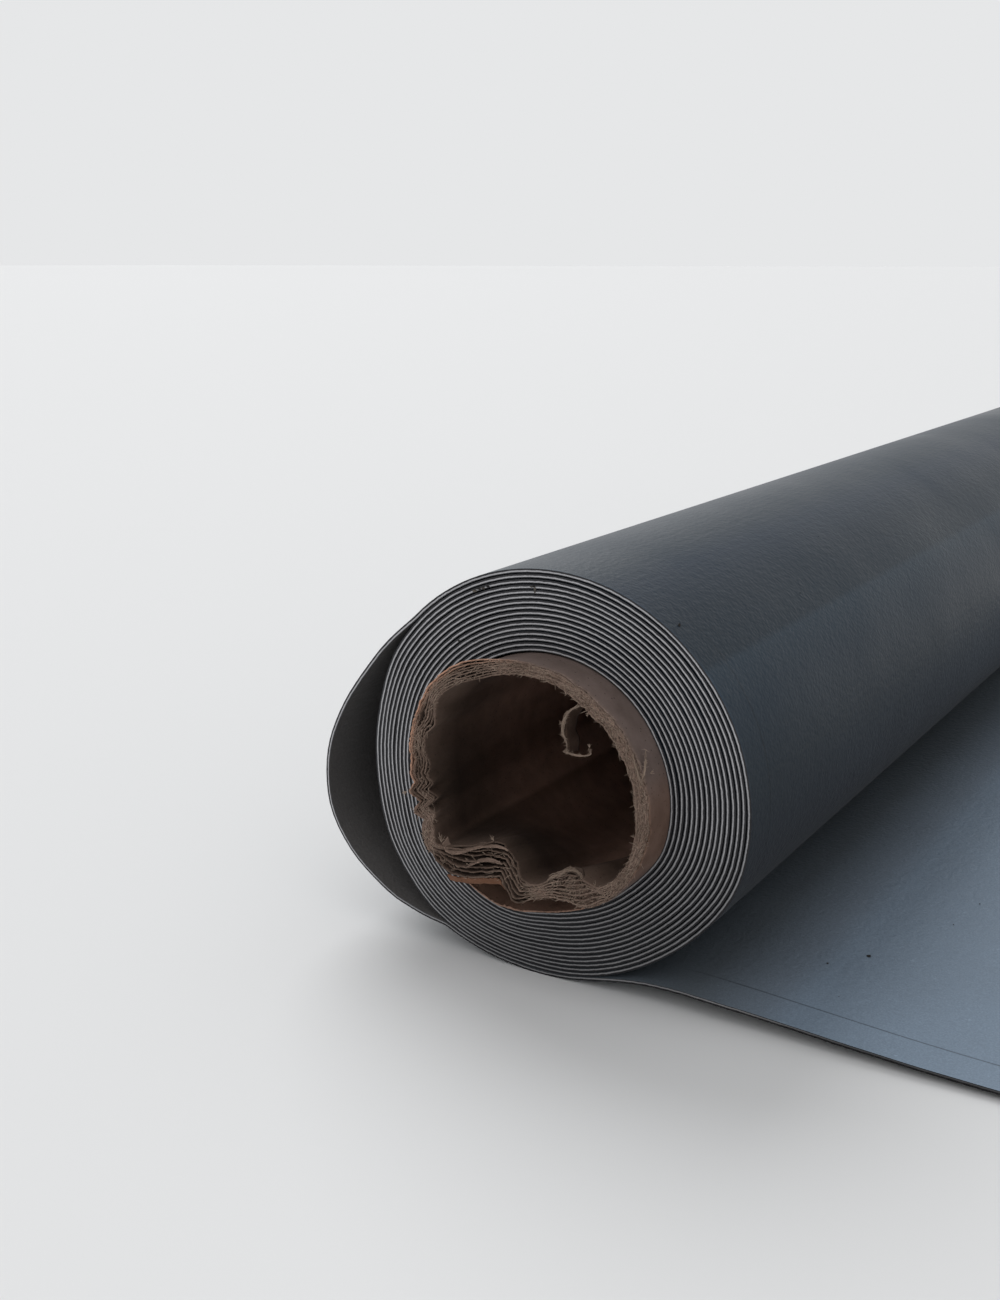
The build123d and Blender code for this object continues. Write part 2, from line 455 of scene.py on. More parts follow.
def faceWashes(tree, place, ply, broad):  # what darkens or lightens the two faces and the cut edge
    side, back, height = fromAxis(tree, place)
    angle = calc(tree, "ARCTAN2", height, side)
    outside = band(tree, ply, 1 - sheet["faceShare"], 1.0)
    inside = band(tree, ply, sheet["faceShare"], 0.0)
    cut = calc(tree, "SUBTRACT", calc(tree, "SUBTRACT", 1.0, inside), outside)
    nearEnd = calc(tree, "SUBTRACT", band(tree, back, *sheet["endZone"]), inside)
    nearEnd = calc(tree, "MAXIMUM", nearEnd, 0.0)
    onTail = band(tree, side, *sheet["tailZone"])
    # painted shade of faces that another turn lies on
    underShade = toned(tree, attribute(tree, "buried"), [(0.0, 1.0), (1.0, sheet["buriedShadeTone"])])
    # how far up the painted shade on the near end reaches, lower towards the left and wandering
    slant = calc(tree, "SUBTRACT", height, calc(tree, "MULTIPLY", side, sheet["endShadeSlant"]))
    low = calc(tree, "ADD", slant, calc(tree, "MULTIPLY", broad, sheet["endShadeWander"]))
    fromLine = calc(tree, "ABSOLUTE", calc(tree, "SUBTRACT", back, sheet["lineFromEdge"]))
    return [
        # painted light and shade by the angle round the roll, with a painted highlight and shade at the
        # crease
        (tonedOver(tree, angle, sheet["sideLightTones"], degree), outside),
        (underShade, inside),
        (underShade, outside),
        # painted shade in the hollow of the loose turn and beside the roll
        (tonedOver(tree, side, sheet["hollowShadeTones"], mm), inside),
        # painted highlight along the near edge
        (tonedOver(tree, back, sheet["rimHighlightTones"], mm), outside),
        # painted shade on the near end, darker towards the bottom
        (tonedOver(tree, low, sheet["endShadeTones"], mm), nearEnd),
        # painted shade on the cut edge of the unrolled end
        (tonedOver(tree, side, sheet["tailEdgeShadeTones"], mm), cut),
        (tonedOver(tree, fromLine, sheet["lineTones"], mm), onTail),
    ]


def membraneMaterial():
    material, tree, shader = newMaterial("membrane")
    place = objectPlace(tree)
    ply = attribute(tree, "ply")
    noises = {name: noiseAt(tree, place, *values) for name, values in sheet["noises"].items()}
    washes = faceWashes(tree, place, ply, noises["broad"])
    washes += [(toned(tree, noises[name], stops), 1.0) for name, stops in sheet["noiseTones"].items()]
    colour = washed(tree, sectionColour(tree, ply, noises["layers"]), washes)
    tree.links.new(colour, shader.inputs["Base Color"])

    pores = addNode(tree, "TexVoronoi", Vector=place, Scale=sheet["poreScale"], feature="SMOOTH_F1")
    grain = calc(tree, "MULTIPLY_ADD", noises["fine"], 0.5, pores.outputs["Distance"])
    relief = calc(tree, "MULTIPLY_ADD", grain, 0.6, noises["dimples"])
    addBump(tree, shader, relief, strength=0.42, distance=0.45 * mm)
    tree.links.new(toned(tree, noises["broad"], sheet["roughness"]), shader.inputs["Roughness"])
    shader.inputs["Specular IOR Level"].default_value = 0.14
    shader.inputs["Sheen Weight"].default_value = 0.04
    shader.inputs["Sheen Roughness"].default_value = 0.35
    return material


print("sheet")
sheetPiece = finishPiece(sheetStrip(), "wound_sheet", membraneMaterial())
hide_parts("membrane_roll")


# Dirt that lies on the sheet

dirt = {
    # x and y on the unrolled end, and size, in mm
    "specks": [(86, 57, 1.5), (77, 44, 0.8), (87, 26, 0.4), (102, 97, 0.5), (105, 119, 0.5), (150, 210, 0.6),
               (190, 330, 0.5), (120, 420, 0.7), (210, 560, 0.6), (165, 700, 0.5), (225, 840, 0.8)],
    "speckHeight": 0.4,          # share of its size
    "speckLift": 0.1,            # of its middle above the sheet, in mm
    "lumpiness": (0.5, 3, 700),  # how much, its scale on a lump, and how lumps differ by their place
    # x, z, three sizes and paleness of crumbs on the near end of the roll, in mm
    "crumbs": [(-25.6, 58.0, 1.7, 0.6, 0.7, 0.9), (-24.1, 58.8, 1.5, 0.6, 0.6, 0.1),
               (-22.5, 59.2, 1.5, 0.7, 0.6, 0.5), (-20.9, 59.9, 1.2, 0.5, 0.5, 0.0),
               (-4.8, 61.9, 0.7, 0.6, 1.0, 0.0), (-4.4, 60.7, 0.7, 0.6, 2.0, 0.9),
               (-5.5, 61.5, 1.2, 0.5, 0.4, 0.6), (-31.5, 41.5, 0.8, 0.5, 0.6, 0.2)],
    # on the outside of the roll: angle, y and the two sizes
    "marks": [(53.6, 6.6, 0.5, 1.6), (47.0, 88.0, 0.3, 0.5), (61.0, 140.0, 0.25, 0.4)],
    "colours": [(0.3, srgb(13, 13, 15)), (0.7, srgb(38, 35, 33))],
    "paleTone": (9.5, 9.3, 8.0),
}


def addLump(bm, spot, sizes, paleness=0.0):
    pale = bm.verts.layers.float["pale"]
    amount, scale, spread = dirt["lumpiness"]
    lump = bmesh.ops.create_icosphere(bm, subdivisions=2, radius=0.5)["verts"]
    for vert in lump:
        vert[pale] = paleness
        swell = 1 + amount * noise.noise(vert.co * scale + spot * spread)
        vert.co = spot + Vector(a * b for a, b in zip(vert.co * swell, sizes))


def dirtSpecks():
    bm = bmesh.new()
    bm.verts.layers.float.new("pale")
    for x, y, size in dirt["specks"]:
        top = (ramp(x, sheet["unrolledRise"]) + dirt["speckLift"]) * mm + sheet["thickness"]
        spot = Vector((axisX + x * mm, nearFace + y * mm, top))
        addLump(bm, spot, Vector((1, 1, dirt["speckHeight"])) * size * mm)
    for x, z, *sizes, paleness in dirt["crumbs"]:
        addLump(bm, atAxis(x * mm, 0, z * mm), Vector(sizes) * mm, paleness)
    for angle, y, wide, long in dirt["marks"]:
        addLump(bm, onRoll(angle, y * mm), Vector((wide, long, long)) * mm)
    return bm


def dirtMaterial():
    material, tree, shader = newMaterial("dirt")
    grain = noiseAt(tree, objectPlace(tree), 2400, 3, 0.5)
    paleness = toned(tree, attribute(tree, "pale"), [(0.0, 1.0), (1.0, dirt["paleTone"])])
    colour = washed(tree, toned(tree, grain, dirt["colours"]), [(paleness, 1.0)])
    tree.links.new(colour, shader.inputs["Base Color"])
    addBump(tree, shader, grain, strength=0.5, distance=0.2 * mm)
    shader.inputs["Roughness"].default_value = 0.95
    return material


print("dirt")
finishPiece(dirtSpecks(), "dirt_specks", dirtMaterial(), 60)


# The cardboard tube: nested plies, torn and crushed at the near end

tube = {
    "radius": 41.5 * mm,
    "wall": 3.4 * mm,
    "plies": 8,                  # ply 0 is the outermost
    "plyThickness": 0.4 * mm,
    "segments": 360,
    "tip": -15.2 * mm,           # where the foremost point lies, from the near face of the sheet
    "rings": [0, 0.8, 1.8, 3.2, 5.5, 9, 14, 20, 28, 38, 52, 76, 1015],  # mm behind the torn edge
    # how much of the dent is left at a y in mm, where it is deep and where it is shallow
    "deepDent": [(-16, 1.0), (-8, 0.93), (5, 0.72), (20, 0.45), (35, 0.24), (50, 0.07), (62, 0.0)],
    "shallowDent": [(-16, 1.0), (-6, 0.75), (0, 0.6), (12, 0.45), (35, 0.2), (60, 0.0)],
    "deepFrom": 8 * mm,
    "soundFrom": 62 * mm,
    "flare": [(-15, 1.0), (-8, 0.6), (-1.5, 0.0)],
    # outer and inner outline of the torn end, angle and radius in mm
    "outerTip": [(-174, 40.8), (-166, 40.2), (-158, 40.0), (-148, 42.2), (-134, 41.6), (-129, 39.2),
                 (-118, 32.9), (-106, 28.2), (-101, 31.0), (-95, 34.2), (-84, 31.6), (-72, 30.8),
                 (-63, 33.4), (-58, 35.8), (-51, 38.4), (-43, 39.4), (-33, 39.8), (-24, 40.6),
                 (-14, 41.3), (0, 41.9), (14, 41.8), (30, 41.2), (55, 40.9), (78, 41.3), (93, 42.2),
                 (104, 43.2), (118, 44.9), (132, 45.3), (145, 44.4), (158, 42.8), (172, 41.2)],
    "innerTip": [(-170, 32.4), (-161, 34.0), (-153, 35.4), (-146, 37.0), (-141, 30.6), (-134, 24.4),
                 (-123, 18.0), (-105, 16.4), (-95, 18.9), (-91, 23.8), (-85, 26.0), (-77, 26.2),
                 (-66, 24.6), (-54, 24.6), (-46, 27.2), (-41, 33.6), (-33, 36.0), (-22, 37.3),
                 (-10, 37.9), (10, 37.7), (30, 38.0), (50, 37.6), (70, 37.9), (94, 38.2), (114, 38.0),
                 (130, 39.6), (139, 39.4), (148, 35.6), (157, 37.0), (163, 36.2), (171, 33.4), (180, 32.6)],
    # how far the torn edge stands back, angle and mm
    "tear": [(-180, 1.0), (-150, 0.9), (-120, 0.5), (-90, 0.6), (-60, 0.5), (-30, 0.2), (0, 0.0),
             (30, 0.6), (60, 1.3), (85, 1.5), (105, 0.6), (120, 0.0), (150, 0.0)],
    # places round the rim, as middle and half width
    "matted": (-56, 25),         # the plies are crushed together again
    "folded": (193, 18),         # sharp folds on the left side
    "bentIn": (-122, 17),        # the innermost ply bends inwards
    "linerGap": (-98, 62),       # the outermost ply stays on the sheet and is torn further back
    "cracked": (22, 12),         # a crack between two plies
    "liningEdge": (146, 62),     # the lining shows at the torn edge
    "reddened": (-8, 30),        # the outermost ply is redder and darker
    "deepShadeSpot": (-156, 24),       # painted shade on the innermost ply, deep in the tube
    "linerBack": 11.0,           # mm that the outermost ply is torn further back
    "snug": [(-13, 0.0), (-3, 1.0)],          # how much it follows the sheet there, y in mm
    "snugGap": 0.3 * mm,
    "looseWall": (5.0, 3.5),     # mm of wall at which the plies start to part, and mm until they have
    "mattedShare": 0.95,
    # waves and ripples of the plies: scale along the rim, from ply to ply and along y, and mm
    "waveScale": (0.07, 0.45, 12),
    "rippleScale": (0.35, 1.1, 40),
    "rippleSize": (0.3, 0.12),   # where the plies have parted, and everywhere
    "bend": 1.1,                 # mm that the innermost ply bends inwards
    "foldStart": 178.1,          # degrees
    "foldPitch": 9.2,            # degrees from fold to fold
    "foldTwist": 0.24,           # degrees from ply to ply
    "foldHeight": 2.0,           # mm
    "foldDepth": [(-12, 1.0), (-3, 0.0)],     # how much of the folds is left, y in mm
    # wander of the torn edges: mm, scale round the rim and from ply to ply
    "ragged": (0.8, 9, 0.6),
    "fine": (0.7, 60, 3.1),
    "lean": (0.7, 5, 0.2),       # only where the plies are staggered
    "staggerAngle": 25,          # where the outer plies are torn back furthest
    "stagger": 0.27,             # mm from ply to ply
    "edgeFade": 30,              # mm behind the torn edge at which its wander has faded
    "liningFade": [(222, 1.0), (242, 0.45)],  # the lining is greyer towards the right
    "reddening": (0.34, 0.75),       # how much lining colour shows where the outermost ply is reddened, and how dark it is there
    "deepShade": (0.52, 20),         # how dark the painted shade on the innermost ply is, and mm until it is
    "tornShare": (0.45, 4),      # how torn a ply looks at its edge, and mm over which 1 of it is lost
    "partedShade": (0.75, 0.6),  # how dark the parted plies are, and how uneven
    "shadeScale": (0.05, 1.7, 1),
    "pulpColumns": 22,           # steps of the pulp from the outermost to the innermost ply
    # mm that the pulp lies behind the torn edges: everywhere, where the plies have parted, lumps
    "pulpDepth": (0.2, 9, 0.5),
    "crack": (1.1, 2.0, 2.5),    # between these plies, and mm deep
    "outside": srgb(107, 93, 88),
    "core": srgb(129, 110, 99),
    "inside": srgb(104, 87, 77),
    # the lining's own colour, made paler as painted light, mostly for the hollow where the outermost ply
    # stays on the sheet
    "lining": srgb(190, 148, 125),
    # the lining darkened as painted shade, for the flap that lies in shade
    "shadedLiningPaper": srgb(116, 82, 63),
    "shadedPaper": srgb(84, 70, 62),
    # the paper darkened as painted shade, for the strip that hangs in the shade of the bore
    "shadedDarkPaper": srgb(76, 60, 51),
    "fibre": srgb(158, 140, 126),
    "shade": (0.42, 0.4, 0.38),  # tone of the plies that have parted
    # painted light and shade of the inner plies against y in mm: painted shade just behind the torn end, and
    # painted light deeper in, where no lamp light gets to
    "boreLightTones": [(-12, 1.0), (3.7, (0.5, 0.45, 0.43)), (19.4, (0.9, 0.82, 0.79)), (35.2, (1.8, 1.62, 1.6)),
                   (53.5, (2.6, 2.36, 2.36)), (74.5, (3.1, 2.86, 2.86)), (124.2, (3.4, 3.2, 3.2)),
                   (160.9, 1.5), (197.6, 1.0)],
    # tones on torn paper
    "streakTones": [(0.34, (0.3, 0.28, 0.26)), (0.46, (0.8, 0.79, 0.78)), (0.56, 1.1),
                    (0.68, (1.75, 1.72, 1.68))],
    "grainTones": [(0.32, 0.5), (0.5, 1.0), (0.68, (1.6, 1.58, 1.55))],
    # tones everywhere
    "blotchTones": [(0.3, (0.8, 0.78, 0.76)), (0.7, 1.15)],
    "freckleTones": [(0.0, 0.5), (0.1, 0.55), (0.17, 1.0)],
    "freckleScale": 500,
    "grain": (1500, 5, 0.75),    # scale, detail and roughness
    "blotches": (120, 4, 0.6),
    "streaks": (700, 4, 0.65),
    "ringScale": (0.035, 3.5),   # along the rim and across the wall
}


def wallAt(angle):  # mm of all plies together at the torn end
    return roundOutline(angle, tube["outerTip"]) - roundOutline(angle, tube["innerTip"])


def looseness(angle):  # 0 where the plies still hold together, 1 where they have parted
    start, spread = tube["looseWall"]
    parted = min(1.0, max(0.0, (wallAt(angle) - start) / spread))
    return parted * (1 - tube["mattedShare"] * spotShare(angle, *tube["matted"]))


def gapShare(angle):  # 1 where the outermost ply stays on the sheet
    return min(1.0, 2 * spotShare(angle, *tube["linerGap"]))


def zigzag(angle, y):
    fold = spotShare(angle, *tube["folded"]) * ramp(y / mm, tube["foldDepth"])
    share = (angle % 360 - tube["foldStart"]) / tube["foldPitch"] % 1
    return fold * (abs(share * 4 - 2) - 1)


def tipRadius(ply, angle, y):  # middle of a ply at the torn end
    away = gapShare(angle) if ply else 0.0
    share = (ply + 0.5 - away) / (tube["plies"] - away)
    radius = roundOutline(angle, tube["outerTip"]) - wallAt(angle) * share
    wave = scaledNoise(tube["waveScale"], angle, ply, y)
    ripple = scaledNoise(tube["rippleScale"], angle, ply, y)
    looseRipple, ownRipple = tube["rippleSize"]
    radius += looseness(angle) * (wave + looseRipple * ripple) + ownRipple * ripple
    if ply == tube["plies"] - 1:
        radius -= tube["bend"] * spotShare(angle, *tube["bentIn"])
    return (radius + tube["foldHeight"] * zigzag(angle + tube["foldTwist"] * ply, y)) * mm


def dentedRadius(ply, angle, y, sound):
    dent = sound - tipRadius(ply, angle, y)
    if dent < 0:
        return sound - dent * ramp(y / mm, tube["flare"])
    deep = min(1.0, dent / tube["deepFrom"])
    shallow = ramp(y / mm, tube["shallowDent"])
    return sound - dent * (shallow + (ramp(y / mm, tube["deepDent"]) - shallow) * deep)


def tubeRadius(ply, angle, y):
    sound = tube["radius"] - tube["wall"] * (ply + 0.5) / tube["plies"]
    if y > tube["soundFrom"]:
        return sound
    dented = dentedRadius(ply, angle, y, sound)
    if ply > 0:
        return dented
    middle, halfWidth, depth = sheet["innerSpots"][0]  # the outermost ply fills the sheet's hollow
    hollow = sound - depth * spotShare(angle, middle, halfWidth)
    snug = min(hollow, boreRadius(angle, max(y, 0)) - tube["snugGap"])
    return dented + (snug - dented) * ramp(y / mm, tube["snug"])


def tornEdge(ply, angle):  # y of a ply's torn edge
    back = roundOutline(angle, tube["tear"])
    for size, *scales in (tube["ragged"], tube["fine"]):
        back += size * ringNoise(angle, ply, *scales)
    facing = 0.5 + 0.5 * math.cos((angle - tube["staggerAngle"]) * degree)
    size, *scales = tube["lean"]
    back += size * facing * ringNoise(angle, ply + 35, *scales)  # 35 plies on, so that it differs
    stagger = tube["stagger"] * (tube["plies"] - 1 - ply) * facing * (1 - looseness(angle))
    if ply == 0:
        back += tube["linerBack"] * gapShare(angle)
    return tube["tip"] + max(0.0, back + stagger) * mm


def plyMarks(ply, angle, back):  # how torn, how much lining and how dark, back in mm from the torn edge
    tornMost, tornReach = tube["tornShare"]
    torn = max(0.0, tornMost - back / tornReach)
    middle, spread = tube["partedShade"]
    shade = looseness(angle) * (middle + spread * scaledNoise(tube["shadeScale"], angle, ply, 3))
    lining = (1.0 - 0.45 * ply) * spotShare(angle, *tube["liningEdge"]) * max(0.0, 1 - back / 2)
    if ply == 0:
        liningShown, darkened = tube["reddening"]
        reddenedShare = spotShare(angle, *tube["reddened"])
        lining = max(lining, gapShare(angle) * ramp(angle, tube["liningFade"]), liningShown * reddenedShare)
        shade = darkened * reddenedShare
    elif ply == tube["plies"] - 1:
        deepShade, reach = tube["deepShade"]
        # painted shade on the innermost ply, deep in the tube
        shade += deepShade * spotShare(angle, *tube["deepShadeSpot"]) * min(1.0, back / reach)
    return torn, max(0.0, lining), min(1.0, shade)


def plyShell(bm, ply):  # one ply, from its torn edge to the square far end
    spoke = bm.verts.layers.int["spoke"]
    plyOf, *marks = [bm.verts.layers.float[name] for name in ("ply", "torn", "kraft", "shade")]
    ring, edges = numberedRing(bm, tube["segments"])
    for back in tube["rings"]:
        if back:
            ring, edges = extrudedRing(bm, edges)
        for vert in ring:
            angle = 360 * vert[spoke] / tube["segments"]
            fade = max(0.0, 1 - back / tube["edgeFade"])
            y = tube["tip"] + (tornEdge(ply, angle) - tube["tip"]) * fade + back * mm
            vert.co = around(tubeRadius(ply, angle, y), angle, min(y, farFace - nearFace))
            vert[plyOf] = ply / (tube["plies"] - 1)
            for mark, value in zip(marks, plyMarks(ply, angle, back)):
                vert[mark] = value


def tubePlies():
    bm = bmesh.new()
    bm.verts.layers.int.new("spoke")
    for layer in ("ply", "torn", "kraft", "shade"):
        bm.verts.layers.float.new(layer)
    for ply in range(tube["plies"]):
        plyShell(bm, ply)
    bmesh.ops.recalc_face_normals(bm, faces=bm.faces)
    return bm


def tornPulp():  # matted fibres between the plies, just behind their torn edges
    bm = bmesh.new()
    spoke = bm.verts.layers.int.new("spoke")
    plyOf = bm.verts.layers.float.new("ply")
    torn = bm.verts.layers.float.new("torn")
    least, parted, lumps = tube["pulpDepth"]
    outerPly, innerPly, crack = tube["crack"]
    segments = 2 * tube["segments"]
    ring, edges = numberedRing(bm, segments)
    for column in range(tube["pulpColumns"] + 1):
        if column:
            ring, edges = extrudedRing(bm, edges)
        ply = (tube["plies"] - 1) * column / tube["pulpColumns"]
        for vert in ring:
            angle = 360 * vert[spoke] / segments
            lump = scaledNoise((0.9, 2.2, 1), angle, ply, 0) + scaledNoise((2.3, 4, 1), angle, ply, 5)
            deep = least + parted * looseness(angle) ** 0.7 + lumps * lump
            if outerPly < ply < innerPly:
                deep += crack * spotShare(angle, *tube["cracked"])
            y = tornEdge(max(ply, 0.6), angle) + deep * mm
            vert.co = around(tubeRadius(max(ply, 0.3), angle, y), angle, y)
            vert[plyOf] = 0.5
            vert[torn] = 1.0
    return bm


# Fibres at the torn end. Places are x, y and z from the axis and the near face, in mm.

fibres = {
    "radius": 0.07 * mm,
    "taper": (1.25, 0.8),        # thickness at the root, and how much of it is lost towards the tip
    "bend": 0.35,                # share of the length that a fibre bends sideways
    # fibres round the torn edge: places that are tried, and the share that parted plies leave out
    "tries": 3000,
    "leftOut": 0.85,
    "behindEdge": (-0.1, 0.5),   # mm
    "along": (0.3, 1.0),         # shares of a fibre's direction
    "outwards": (-0.6, 0.6),
    "backwards": (-0.9, 0.1),
    "lengths": (0.6, 2.2),       # mm
    # fibres in a strand: how many steps one lies along it, its wander, and the fuzz beside it
    "strandStep": 0.6 * mm,
    "strandRun": (6, 16),
    "strandWander": 0.25 * mm,
    "fuzzSpread": 0.3 * mm,
    "fuzzLengths": (0.4, 1.1),
    "fuzzThickness": 0.8,
    "tuftSpread": 0.45,
    # path, how many fibres lie along it, how far apart, thickness, fuzz
    "strands": [
        ([(17.3, -11.9, 31.2), (13.7, -11.9, 28.3), (12.1, -11.9, 23.1), (13.4, -11.9, 19.3),
          (13.7, -11.9, 16.4)], 56, 0.55, 0.9, 70),
        ([(12.4, -11.6, 16.5), (14.4, -11.6, 16.2), (16.8, -11.6, 16.0), (19.4, -11.6, 16.3),
          (21.2, -11.6, 17.2), (21.0, -11.6, 18.5)], 20, 0.32, 0.8, 60),
        ([(9.6, -14.7, -23.3), (11.6, -14.7, -21.5), (14.0, -14.6, -20.5), (15.8, -14.5, -19.0),
          (17.4, -14.5, -18.5), (19.2, -14.5, -18.9), (20.6, -14.4, -20.4)], 54, 0.8, 1.1, 110),
        ([(38.7, -13.7, 12.2), (38.0, -13.9, 14.2), (37.0, -14.0, 17.2), (36.0, -13.9, 20.3)],
         24, 0.3, 0.9, 24),
        ([(38.7, -13.7, 12.2), (39.1, -12.6, 15.0), (38.7, -11.0, 18.0), (37.4, -8.4, 20.4)],
         26, 0.35, 0.95, 34),
    ],
    # place, direction, how many fibres, their length
    "tufts": [
        ((12.3, -11.8, 25.0), (-1, 0, 0.1), 9, 1.6), ((12.6, -11.8, 21.5), (-1, 0, -0.3), 6, 1.3),
        ((21.0, -11.6, 19.2), (-0.3, 0, 1), 8, 1.2), ((40.2, -11.0, 14.6), (0.9, -0.3, 0.5), 9, 2.0),
        ((36.8, -13.0, -5.0), (-0.6, -0.4, 0.7), 8, 1.5), ((-29.1, -14.5, -19.6), (0.1, -0.2, 1), 8, 3.2),
        ((-9.9, -14.5, -15.2), (-0.3, -0.2, 1), 7, 2.2), ((-41.8, -14.6, -5.4), (-0.8, -0.5, -0.3), 12, 1.6),
        ((17.6, -14.4, -19.0), (0.5, -0.4, 0.8), 14, 1.6), ((25.0, -14.0, -22.6), (-0.2, -0.5, 1), 10, 1.8),
        ((21.5, -13.6, 30.4), (-0.5, -0.4, -0.5), 8, 1.6), ((33.0, -13.6, -18.0), (-0.6, -0.5, 0.4), 8, 1.4),
    ],
}


def addFibre(curve, points, thickness):
    root, loss = fibres["taper"]
    spline = curve.splines.new("POLY")
    spline.points.add(len(points) - 1)
    for k, (point, spot) in enumerate(zip(spline.points, points)):
        point.co = (*spot, 1)
        point.radius = thickness * (root - loss * k / (len(points) - 1))


def strayFibre(curve, start, run, length, thickness=1.0):
    bend = noise.random_unit_vector() * length * fibres["bend"]
    points = [start + run.normalized() * length * t + bend * t * t for t in (0, 0.35, 0.7, 1)]
    addFibre(curve, points, thickness)


def edgeFibres(curve):  # all round the torn edge
    for _ in range(fibres["tries"]):
        angle = random.uniform(0, 360)
        if random.random() < fibres["leftOut"] * looseness(angle):
            continue
        ply = random.uniform(0.4, tube["plies"] - 1)
        y = tornEdge(ply, angle) + random.uniform(*fibres["behindEdge"]) * mm
        start = around(tubeRadius(ply, angle, y), angle, y)
        along = pointing(angle + 90) * random.choice((-1, 1))
        out = pointing(angle) * random.uniform(*fibres["outwards"])
        run = along * random.uniform(*fibres["along"]) + out
        run += Vector((0, random.uniform(*fibres["backwards"]), 0))
        strayFibre(curve, start, run, random.uniform(*fibres["lengths"]) * mm)


def strand(curve, path, count, spread, thickness, fuzz):  # fibres that lie along a path
    line = smoothPath([atAxis(*(Vector(spot) * mm)) for spot in path], fibres["strandStep"])
    for _ in range(count):
        first = random.randrange(0, max(1, len(line) - 8))
        last = min(len(line), first + random.randrange(*fibres["strandRun"]))
        shift = noise.random_unit_vector() * spread * mm * random.random()
        points = [spot + shift + fibres["strandWander"] * noise.noise_vector(spot * 900 + shift * 3000)
                  for spot in line[first:last]]
        addFibre(curve, points, thickness)
    for _ in range(fuzz):
        start = random.choice(line) + noise.random_unit_vector() * fibres["fuzzSpread"]
        run = noise.random_unit_vector()
        length = random.uniform(*fibres["fuzzLengths"]) * mm
        strayFibre(curve, start, run, length, fibres["fuzzThickness"])


def tuft(curve, spot, run, count, length):
    for _ in range(count):
        way = Vector(run) + noise.random_unit_vector() * fibres["tuftSpread"]
        strayFibre(curve, atAxis(*(Vector(spot) * mm)), way, random.uniform(0.5, 1.0) * length * mm)


def tornFibres(material):
    curve = bpy.data.curves.new("torn_fibres", "CURVE")
    curve.dimensions = "3D"
    curve.bevel_depth = fibres["radius"]
    curve.bevel_resolution = 0
    edgeFibres(curve)
    for bundle in fibres["strands"]:
        strand(curve, *bundle)
    for bundle in fibres["tufts"]:
        tuft(curve, *bundle)
    curve.materials.append(material)
    piece = addObject("torn_fibres", curve)
    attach(piece, "root")


# Strips of torn paper. Their front follows a path of x and z at one y, and they reach back from it, in mm.

strips = {
    "hanging_strip": {
        "paper": "darker_shaded", "front": -11.4, "reach": (0.4, 6.2, -0.9), "crumple": 0.45, "taper": 0.0,
        "path": [(17.4, 31.9), (14.2, 28.6), (12.6, 23.4), (13.7, 19.4), (13.9, 16.4)]},
    "crumpled_flap": {
        "paper": "shaded", "front": -14.6, "reach": (0.4, 3.2, -0.2), "crumple": 0.8, "taper": 0.3,
        "path": [(8.8, -23.9), (11.4, -21.6), (14.0, -20.8), (15.7, -19.3), (17.2, -18.8), (19.0, -19.3),
                 (20.5, -21.0)]},
    "crumpled_fold": {
        "paper": "shaded", "front": -14.9, "reach": (0.3, 2.4, 0.2), "crumple": 1.0, "taper": 0.3,
        "path": [(13.8, -23.4), (15.6, -21.2), (18.0, -21.0), (19.4, -22.8)]},
    "top_ply": {
        "paper": "plain", "front": -15.3, "reach": (0.3, 2.4, 1.5), "crumple": 0.25, "taper": 0.85,
        "path": [(-27.9, -19.4), (-27.0, -21.9), (-24.0, -22.3), (-20.5, -21.2), (-17.1, -19.4),
                 (-13.5, -17.9), (-10.2, -17.2), (-7.0, -16.8), (-4.4, -17.1)]},
    "second_ply": {
        "paper": "plain", "front": -15.2, "reach": (0.2, 1.6, 1.0), "crumple": 0.2, "taper": 0.85,
        "path": [(-19.4, -25.9), (-17.2, -24.5), (-14.2, -22.8), (-10.3, -21.8), (-6.6, -22.0)]},
    "lining_flap": {
        "paper": "lining", "front": -14.2, "reach": (0.3, 1.2, -2.2), "crumple": 0.3, "taper": 0.0,
        "path": [(-27.2, -30.0), (-24.2, -30.0), (-18.7, -29.4), (-13.3, -28.2), (-8.8, -27.4),
                 (-6.8, -28.9)]},
}
stripThickness = 0.3 * mm
stripStep = 0.5 * mm             # length of a face
stripRows = 7                    # faces from front to back
stripEdge = 0.5 * mm             # how ragged the front is


def paperStrip(name, strip, material):
    line = smoothPath([atAxis(x * mm, strip["front"] * mm, z * mm) for x, z in strip["path"]], stripStep)
    columns = len(line) - 1
    bm = bmesh.new()
    plyOf = bm.verts.layers.float.new("ply")
    torn = bm.verts.layers.float.new("torn")
    bmesh.ops.create_grid(bm, x_segments=columns, y_segments=stripRows, size=1)
    for vert in bm.verts:
        i = gridColumn(vert, columns)
        t = (vert.co.y + 1) / 2  # 0 at the front, 1 at the back
        back = Vector(strip["reach"]) * mm * t * (1 - strip["taper"] * (i / columns) ** 3)
        ragged = stripEdge * noise.noise(line[i] * 1400) * (1 - t)
        wave = noise.noise_vector(Vector((i * 0.16, t * 1.4, strip["front"]))) * strip["crumple"] * mm
        vert.co = line[i] + back + wave + Vector((0, ragged, 0))
        vert[plyOf] = 0.84
        vert[torn] = max(0.0, 1 - 4 * t)
    addThickness(finishPiece(bm, name, material, 60), stripThickness)


def ringPlace(tree, place):  # coordinates that are fine across the tube's wall and coarse along its rim
    alongScale, acrossScale = tube["ringScale"]
    centred = vectorCalc(tree, "SUBTRACT", place, (axisX, 0, axisZ))
    flat = vectorCalc(tree, "MULTIPLY", centred, (1, 0, 1))
    along = vectorCalc(tree, "MULTIPLY", vectorCalc(tree, "NORMALIZE", flat), (alongScale, 0, alongScale))
    across = addNode(tree, "CombineXYZ", Y=vectorCalc(tree, "LENGTH", flat)).outputs["Vector"]
    return vectorCalc(tree, "MULTIPLY_ADD", across, (0, acrossScale, 0), along)


